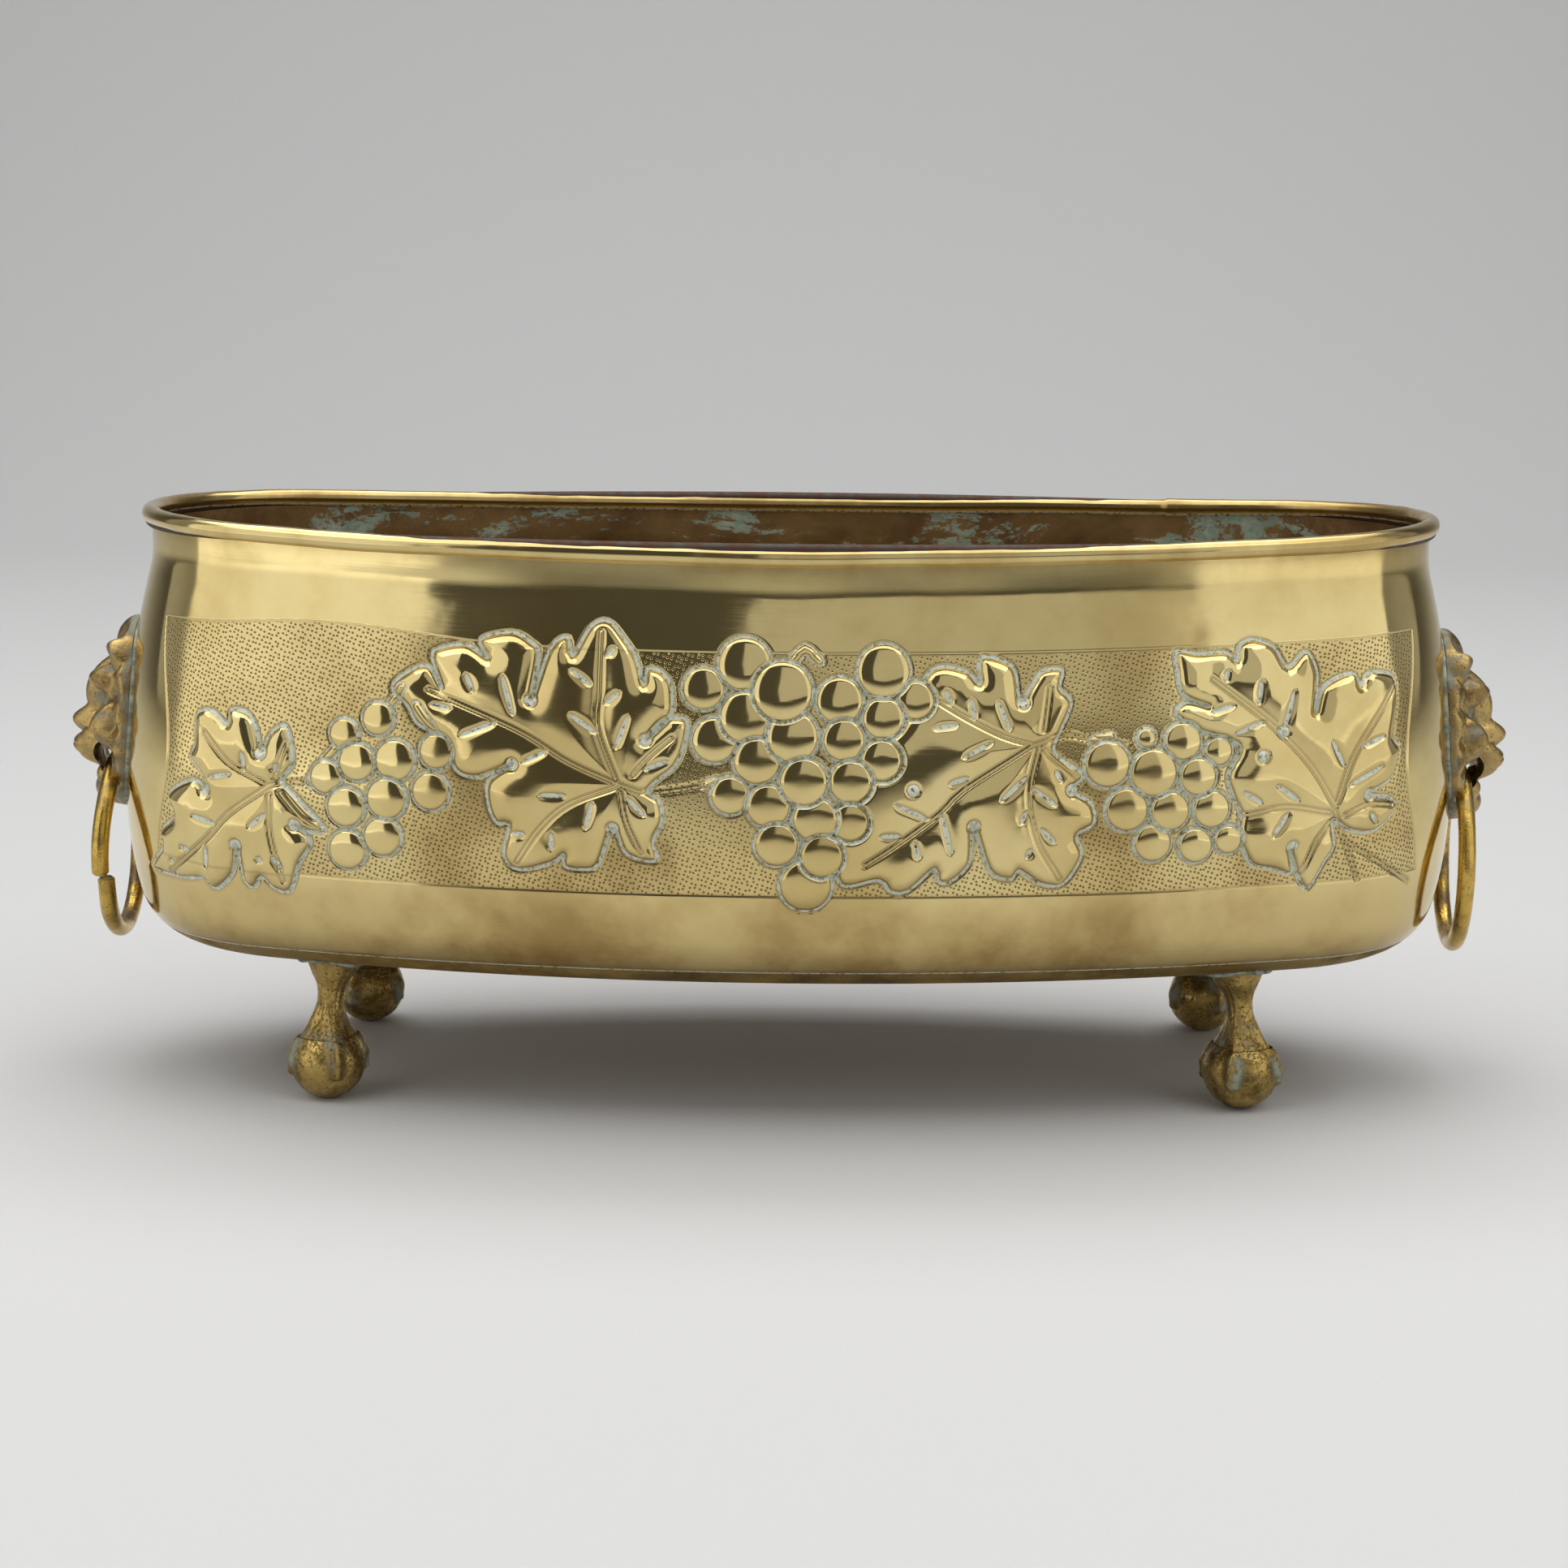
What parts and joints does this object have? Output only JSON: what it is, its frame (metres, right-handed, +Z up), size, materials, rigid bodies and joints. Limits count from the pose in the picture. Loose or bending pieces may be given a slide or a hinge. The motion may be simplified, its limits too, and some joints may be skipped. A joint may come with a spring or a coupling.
{
  "type": "planter pot",
  "caption": "Oval embossed brass planter pot on ball-and-claw feet, with a lion-mask ring handle at each end.",
  "frame": {"origin": "on the floor under the middle of the pot, at the level of the four feet", "axes": "+X along the pot's length, +Y towards its back, +Z up"},
  "size_m": [0.535, 0.2132, 0.2082],
  "materials": {
    "brass_sheet": "polished, lightly tarnished",
    "cast_brass": "worn and patinated casting",
    "ring_brass": "rubbed bright, tarnished in patches",
    "iron_wire": "drawn, dull",
    "solder": "dull grey soft solder",
    "rivet_brass": "hammered",
    "screw_brass": "turned, dull",
    "soft_washer": "soft lead"
  },
  "bodies": {
    "pot": {"body_wall": "brass_sheet", "base_pan": "brass_sheet", "rim_wire": "iron_wire", "base_seam_solder": "solder", "foot_front_left": "cast_brass", "foot_solder_front_left": "solder", "foot_rivet_front_left": "rivet_brass", "foot_front_right": "cast_brass", "foot_solder_front_right": "solder", "foot_rivet_front_right": "rivet_brass", "foot_rear_left": "cast_brass", "foot_solder_rear_left": "solder", "foot_rivet_rear_left": "rivet_brass", "foot_rear_right": "cast_brass", "foot_solder_rear_right": "solder", "foot_rivet_rear_right": "rivet_brass", "lion_mask_left": "cast_brass", "mask_bed_left": "solder", "mask_screw_left": "screw_brass", "mask_washer_left": "soft_washer", "lion_mask_right": "cast_brass", "mask_bed_right": "solder", "mask_screw_right": "screw_brass", "mask_washer_right": "soft_washer"},
    "ring_left": {"ring_left": "ring_brass"},
    "ring_right": {"ring_right": "ring_brass"}
  },
  "joints": [
    {"name": "ring_left_swing", "type": "hinge", "parent": "pot", "child": "ring_left", "pos_m": [-0.2495, 0, 0.115], "axis": [0, 1, 0], "range_deg": [-5, 110]},
    {"name": "ring_right_swing", "type": "hinge", "parent": "pot", "child": "ring_right", "pos_m": [0.2495, 0, 0.115], "axis": [0, -1, 0], "range_deg": [-5, 110]}
  ]
}
